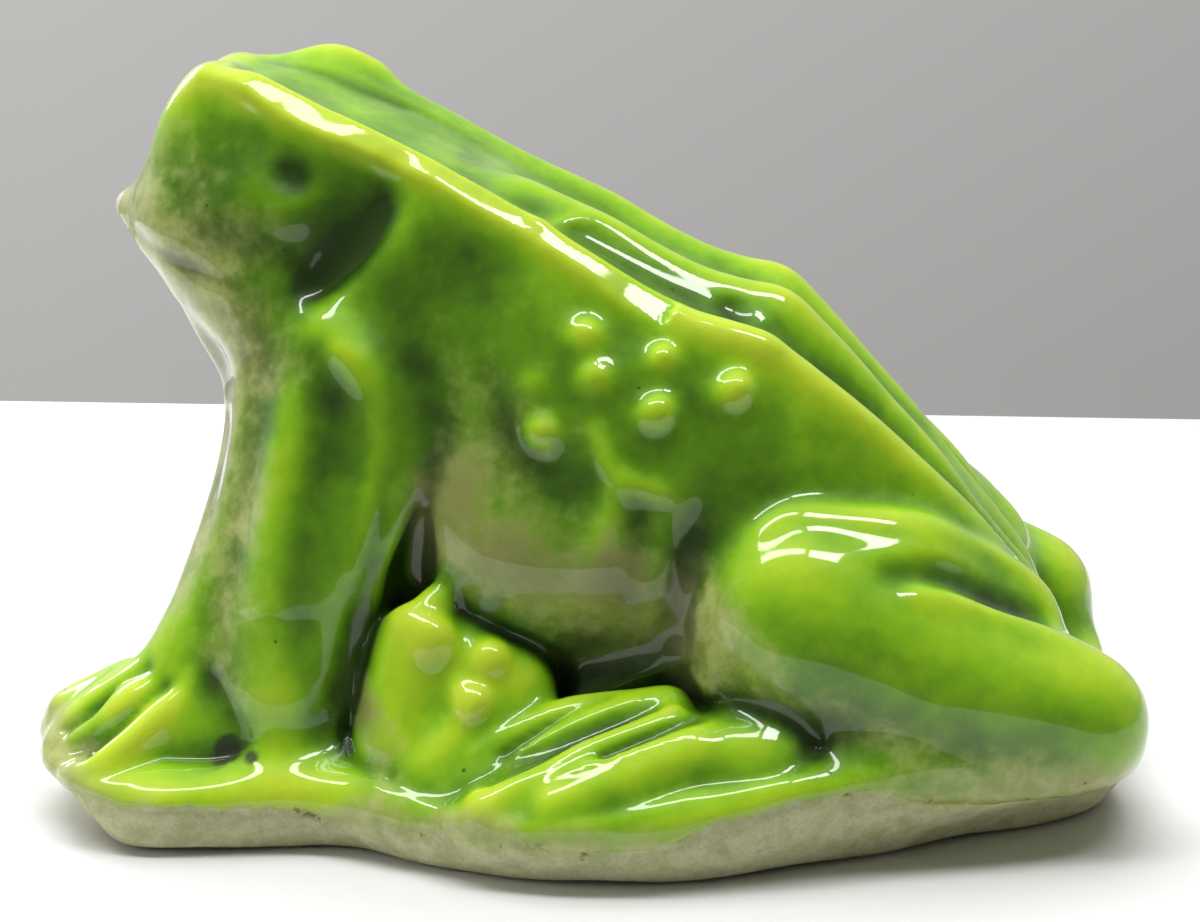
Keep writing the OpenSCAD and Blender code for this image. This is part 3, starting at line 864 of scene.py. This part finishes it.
def frog_material(name):
    n = Nodes(name)
    where = n.new("ShaderNodeTexCoord").outputs["Object"]
    mm = n.new("ShaderNodeVectorMath", {0: where, "Scale": 1 / MM}, operation="SCALE").outputs[0]
    height = n.new("ShaderNodeSeparateXYZ", {0: mm}).outputs[2]
    pool_w, pool_n, sprayed, upward, light_and_shade, skipped_and_shaded = (
        n.attribute(v) for v in ("pool_wide", "pool_near", "spray", "upward", "light_and_shade_spots", "missed_and_shaded"))

    cloud = n.noise(mm, 0.45, 3, 0.55)
    mottle = n.noise(mm, 1.6, 4, 0.6)
    grain = n.noise(mm, 9.0, 3, 0.6)

    # Glaze thickness: deep in the hollows and thin on crests; lighter where the surface faces up,
    # which is painted light from above, and lighter or darker in set spots as painted light and
    # shade
    # Painted shade: darker high up on the sides, where the surface doesn't face up
    high = n.math("MULTIPLY", n.span(height, 10.5, 14.0, 0, 0.10), n.span(upward, 0.3, 0.6, 1, 0))
    # Painted shade: darker on upper slopes that face up and towards the rump, away from the light
    rump_slope_shade = n.math("MULTIPLY", n.span(sprayed, 0.66, 0.96, 0, 0.12), n.span(height, 5.0, 8.0))
    depth = n.total(n.span(pool_w, -0.35, 0.45, -0.35, 0.45, "LINEAR"),
                    n.span(pool_n, -0.12, 0.16, -0.26, 0.35, "LINEAR"),
                    n.sway(cloud, 0.12), n.sway(mottle, 0.05),
                    n.span(upward, 0.25, 0.70, 0.68, 0.42), high, rump_slope_shade,
                    n.math("MULTIPLY", light_and_shade, -0.4))
    depth = n.math("ADD", depth, 0.0, clamp=True)
    green = n.ramp(depth, GREENS)

    # How well the spray reached a spot, and the film where it didn't; the painted light spots take
    # more green, and the missed patches take a darker film as painted shade
    reach = n.total(sprayed, n.sway(cloud, 0.14), n.sway(mottle, 0.08),
                    n.span(height, 3.5, 6.2, -0.16, 0), n.math("MULTIPLY", skipped_and_shaded, -0.36),
                    n.span(light_and_shade, 0.2, 0.9, 0, 0.3))
    film = n.mix(n.span(mottle, 0.35, 0.65), FILM_PALE, FILM_GREEN)
    film = n.mix(skipped_and_shaded, film, FILM_MISSED_SHADED)
    film = n.mix(n.span(depth, 0.60, 1.0), film, FILM_DEEP)
    colour = n.mix(n.span(reach, -0.38, 0.10), film, green)
    # Painted shade: dark where the gaps are closed from above
    gap_shade = n.math("MULTIPLY", n.span(n.attribute("open"), 0.30, 0.02), 0.75)
    colour = n.mix(gap_shade, colour, GAP_SHADE)
    colour = n.mix(n.span(n.attribute("chip"), 0.45, 0.6), colour, CHIP)
    blot = n.total(n.attribute("stain"), n.sway(mottle, 0.2))
    colour = n.mix(n.math("MULTIPLY", n.span(blot, 0.35, 0.75), 0.85), colour, BLOT)

    # Specks in the glaze
    cells = n.new("ShaderNodeTexVoronoi", {"Vector": mm, "Scale": 1.3, "Randomness": 1.0},
                  feature="F1")
    pick = n.new("ShaderNodeSeparateColor", {"Color": cells.outputs["Color"]}).outputs[0]
    size = n.span(pick, 0.72, 1.0, 0.0, 0.085, "LINEAR")
    dot = n.math("LESS_THAN", cells.outputs["Distance"], size)
    colour = n.mix(n.math("MULTIPLY", dot, 0.75), colour, SPECK)

    # The bare body below the glaze's edge
    ragged = n.total(n.attribute("above"), n.sway(n.noise(mm, 2.2, 3, 0.6), 0.12))
    glazed = n.span(ragged, -0.04, 0.03)
    bare = n.mix(n.span(mottle, 0.35, 0.7), BARE_PALE, BARE_DARK)
    bare = n.mix(n.span(grain, 0.4, 0.75, 0, 0.35), bare, BARE_GRAIN)
    stain = n.math("MULTIPLY", n.span(ragged, -0.5, 0.05), n.span(cloud, 0.35, 0.6))
    bare = n.mix(n.math("MULTIPLY", stain, 0.5), bare, BARE_STAIN)
    at_edge = n.math("MULTIPLY", n.span(ragged, -0.35, 0.0), n.span(ragged, 0.5, 0.1))
    dirt = n.math("MULTIPLY", n.span(n.noise(mm, 1.1, 4, 0.7), 0.60, 0.68), at_edge)
    surface = n.mix(glazed, bare, colour)
    surface = n.mix(n.math("MULTIPLY", dirt, 0.8), surface, BARE_DIRT)

    rough = n.math("MULTIPLY_ADD", glazed, GLAZED_ROUGH - BARE_ROUGH, BARE_ROUGH)
    rough = n.total(rough, n.sway(grain, 0.05))

    peel = n.math("MULTIPLY", n.noise(mm, 1.8, 2, 0.4), PEEL)
    sandy = n.math("MULTIPLY_ADD", glazed, SAND_GLAZED - SAND_BARE, SAND_BARE)
    sand = n.math("MULTIPLY", n.noise(mm, 14.0, 3, 0.7), sandy)
    relief = n.total(peel, sand, n.math("MULTIPLY", dot, -PIT))
    bump = n.new("ShaderNodeBump", {"Height": relief, "Distance": MM, "Strength": 0.6})

    shader = n.new("ShaderNodeBsdfPrincipled", {
        "Base Color": surface, "Roughness": rough, "Normal": bump.outputs[0],
        "Coat Weight": glazed})
    shader.inputs["Coat Roughness"].default_value = 0.06
    shader.inputs["Coat IOR"].default_value = 1.5
    shader.inputs["IOR"].default_value = 1.45
    shader.inputs["Specular IOR Level"].default_value = 0.25
    out = n.new("ShaderNodeOutputMaterial")
    n.tree.links.new(shader.outputs[0], out.inputs["Surface"])
    return n.material


glaze = frog_material("green_glaze")
porcelain = frog_material("bare_porcelain")
for name, obj in pieces.items():
    bare = name in ("foot_ring", "plinth")
    obj.data.materials.append(porcelain if bare else glaze)


# ---------------------------------------------------------------- stage, lights and camera

def flat_material(name, colour, rough):
    m = bpy.data.materials.new(name)
    m.use_nodes = True
    shader = m.node_tree.nodes["Principled BSDF"]
    shader.inputs["Base Color"].default_value = (*colour, 1)
    shader.inputs["Roughness"].default_value = rough
    shader.inputs["Specular IOR Level"].default_value = 0.2
    return m


def board(name, x0, x1, y0, y1, radius, spans=16):
    """A flat board with round corners, as part of the stage."""
    mesh = bpy.data.meshes.new(name)
    ring = []
    for k, (x, y) in enumerate(((x1 - radius, y1 - radius), (x0 + radius, y1 - radius),
                                (x0 + radius, y0 + radius), (x1 - radius, y0 + radius))):
        for i in range(spans + 1):
            a = math.pi / 2 * (k + i / spans)
            ring.append(Vector((x + radius * math.cos(a), y + radius * math.sin(a), 0)) * MM)
    mesh.from_pydata(ring, [], [list(range(len(ring)))])
    obj = bpy.data.objects.new(name, mesh)
    bpy.context.scene.collection.objects.link(obj)
    return obj


# The floor's near edge is close, so that the glaze's undercuts mirror little of it.
FLOOR = {"x0": -80, "x1": 80, "y0": -33, "y1": 48, "radius": 14}
FLOOR_COLOUR, FLOOR_ROUGH = (0.72, 0.72, 0.72), 0.6
floor = board("floor", **FLOOR)
floor.location.z = cad_low.z
floor.data.materials.append(flat_material("floor", FLOOR_COLOUR, FLOOR_ROUGH))

world = bpy.data.worlds.new("studio")
bpy.context.scene.world = world
world.use_nodes = True
sky = world.node_tree
toward = sky.nodes.new("ShaderNodeSeparateXYZ")
sky.links.new(sky.nodes.new("ShaderNodeTexCoord").outputs["Generated"], toward.inputs[0])


def sky_span(axis, low, high, at_low, at_high):
    """A factor that goes from at_low to at_high as the direction turns along an axis."""
    span = sky.nodes.new("ShaderNodeMapRange")
    sky.links.new(toward.outputs[axis], span.inputs["Value"])
    for key, v in (("From Min", low), ("From Max", high), ("To Min", at_low), ("To Max", at_high)):
        span.inputs[key].default_value = v
    return span.outputs[0]


# Grey behind the frog, darker behind the camera, and a little lighter to the left and above
strength = sky_span("Y", -0.3, 0.6, 0.09, 0.42)
for part in (sky_span("X", -0.3, 0.3, 1.30, 0.94), sky_span("Z", -0.2, 0.1, 0.84, 1.08)):
    times = sky.nodes.new("ShaderNodeMath")
    times.operation = "MULTIPLY"
    sky.links.new(strength, times.inputs[0])
    sky.links.new(part, times.inputs[1])
    strength = times.outputs[0]
sky.links.new(strength, sky.nodes["Background"].inputs["Strength"])
sky.nodes["Background"].inputs["Color"].default_value = (1.0, 0.98, 0.955, 1)

TARGET = Vector((0, 0, 9.3 * MM))      # the middle of the picture


def lamp(name, place, size, power):
    """A soft box that faces the frog, its long side level."""
    data = bpy.data.lights.new(name, "AREA")
    data.shape = "RECTANGLE"
    data.size, data.size_y = size[0] * MM, size[1] * MM
    data.energy = power
    obj = bpy.data.objects.new(name, data)
    obj.location = Vector(place) * MM
    away = (obj.location - TARGET).normalized()
    across = (Vector((1, 0, 0)) - away * away.x).normalized()
    obj.rotation_euler = Matrix((across, away.cross(across), away)).transposed().to_euler()
    bpy.context.scene.collection.objects.link(obj)
    return obj


# The first two only light the frog; the others are also what its glaze mirrors.
lamp("overhead", (-20, 38, 195), (180, 180), 0.38).visible_glossy = False
lamp("fill_left", (-120, -34, 40), (70, 50), 0.04).visible_glossy = False
lamp("key_top", (-25, -20, 125), (96, 15), 0.06)
lamp("key_right", (42, -22, 106), (34, 16), 0.03)
lamp("rim_left", (-75, 62, 60), (50, 24), 0.03)

AZIMUTH, ELEVATION = math.radians(4), math.radians(14)
DISTANCE = 70 * MM
LENS, SENSOR_WIDTH, CLIP_START = 69.3, 36, 0.001
back = Vector((math.sin(AZIMUTH) * math.cos(ELEVATION), -math.cos(AZIMUTH) * math.cos(ELEVATION),
               math.sin(ELEVATION)))
camera_data = bpy.data.cameras.new("camera")
camera_data.lens = LENS
camera_data.sensor_width = SENSOR_WIDTH
camera_data.clip_start = CLIP_START
camera = bpy.data.objects.new("camera", camera_data)
camera.location = TARGET + back * DISTANCE
camera.rotation_euler = (-back).to_track_quat("-Z", "Y").to_euler()
bpy.context.scene.collection.objects.link(camera)
bpy.context.scene.camera = camera
bpy.context.scene.view_settings.view_transform = "Standard"
